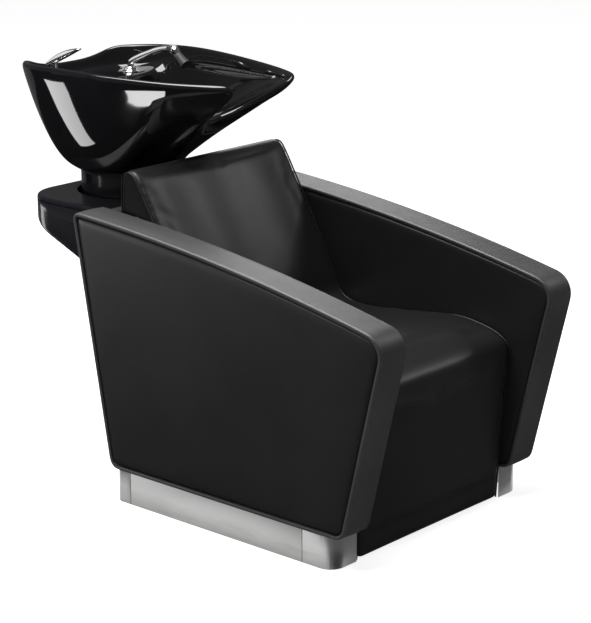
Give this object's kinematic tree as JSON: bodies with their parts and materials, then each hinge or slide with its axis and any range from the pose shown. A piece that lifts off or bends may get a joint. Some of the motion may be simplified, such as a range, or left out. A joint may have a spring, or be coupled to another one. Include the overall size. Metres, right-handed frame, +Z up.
{
  "type": "shampoo backwash unit",
  "caption": "Upholstered backwash chair with slab arms on a steel plinth and a tilting black ceramic basin on a column, with mixer lever and pull-out hand shower.",
  "frame": {"origin": "on the floor under the middle of the whole unit's plan outline", "axes": "+Z up, the chair's front faces -Y with the basin at +Y, +X is the right-hand side seen from the front"},
  "size_m": [0.66, 1.2399, 0.963],
  "materials": {
    "leather_black": "matt black fine-grain upholstery leather",
    "leather_grey": "fine-grain dark grey upholstery leather",
    "plywood": "raw birch plywood",
    "frame_steel": "black powder coat",
    "stainless": "satin stainless steel",
    "panel_black": "fine textured black",
    "shelf_gloss": "gloss black",
    "basin_glaze": "gloss black glaze",
    "chrome": "polished chrome",
    "nozzle_plastic": "satin dark grey",
    "zinc_steel": "zinc plated",
    "rubber_black": "matt",
    "brass": "machined",
    "nylon": "moulded, light grey",
    "hose_braid": "braided hose"
  },
  "bodies": {
    "root": {"arm_bolts": "zinc_steel", "arm_core_left": "plywood", "arm_core_right": "plywood", "arm_edge_band_left": "leather_grey", "arm_edge_band_right": "leather_grey", "arm_inner_pad_left": "leather_black", "arm_inner_pad_right": "leather_black", "arm_outer_pad_left": "leather_black", "arm_outer_pad_right": "leather_black", "back_board": "plywood", "back_frame": "frame_steel", "base_ring": "frame_steel", "cover_screws": "zinc_steel", "front_board": "plywood", "inlet_bracket": "frame_steel", "levelling_feet": "rubber_black", "plinth_corner_left": "stainless", "plinth_corner_right": "stainless", "plinth_rear_wrap": "stainless", "plinth_side_left": "stainless", "plinth_side_right": "stainless", "rear_deck": "panel_black", "rear_upper_panel": "panel_black", "seat_board": "plywood", "seat_frame": "frame_steel", "seat_upholstery": "leather_black", "service_panel": "panel_black", "shelf_shell": "shelf_gloss", "shelf_top_cover": "shelf_gloss", "supply_hoses": "hose_braid", "support_arm": "frame_steel", "tilt_bushes": "nylon", "tilt_yoke": "frame_steel", "waste_cup": "nylon", "waste_pipe": "nylon", "water_inlets": "brass", "yoke_bolts": "zinc_steel"},
    "basin": {"basin": "basin_glaze", "basin_bolts": "zinc_steel", "basin_gasket": "rubber_black", "column_sleeve": "shelf_gloss", "drain_flange": "chrome", "drain_nut": "nylon", "mixer_body": "chrome", "mixer_ring": "chrome", "mixer_cartridge": "brass", "pivot_pins": "zinc_steel", "shower_holder": "chrome", "tap_hoses": "hose_braid", "tap_nuts": "brass", "tilt_cradle": "frame_steel", "waste_tail": "nylon"},
    "mixer_cap": {"mixer_cap": "chrome", "lever_pin": "zinc_steel"},
    "mixer_lever": {"mixer_lever": "chrome"},
    "hand_shower": {"shower_handle": "chrome", "spray_nozzle": "nozzle_plastic", "nozzle_face": "nozzle_plastic"},
    "spray_button": {"spray_button": "nozzle_plastic"},
    "strainer": {"hair_strainer": "chrome"}
  },
  "joints": [
    {"name": "basin_tilt", "type": "hinge", "parent": "root", "child": "basin", "pos_m": [0, 0.413, 0.585], "axis": [1, 0, 0], "range_deg": [-10, 3]},
    {"name": "lever_turn", "type": "hinge", "parent": "basin", "child": "mixer_cap", "pos_m": [-0.12, 0.528, 0.89], "axis": [0, 0, 1], "range_deg": [-45, 45]},
    {"name": "lever_lift", "type": "hinge", "parent": "mixer_cap", "child": "mixer_lever", "pos_m": [-0.12, 0.528, 0.918], "axis": [-1, 0, 0], "range_deg": [0, 15]},
    {"name": "shower_pull", "type": "slide", "parent": "basin", "child": "hand_shower", "axis": [0, 0, 1], "range_m": [0, 0.08]},
    {"name": "spray_button_press", "type": "slide", "parent": "hand_shower", "child": "spray_button", "axis": [1, 0, 0], "range_m": [0, 0.0018], "stiffness_N_per_m": 1500},
    {"name": "strainer_lift", "type": "slide", "parent": "basin", "child": "strainer", "axis": [0, 0, 1], "range_m": [0, 0.06]}
  ]
}
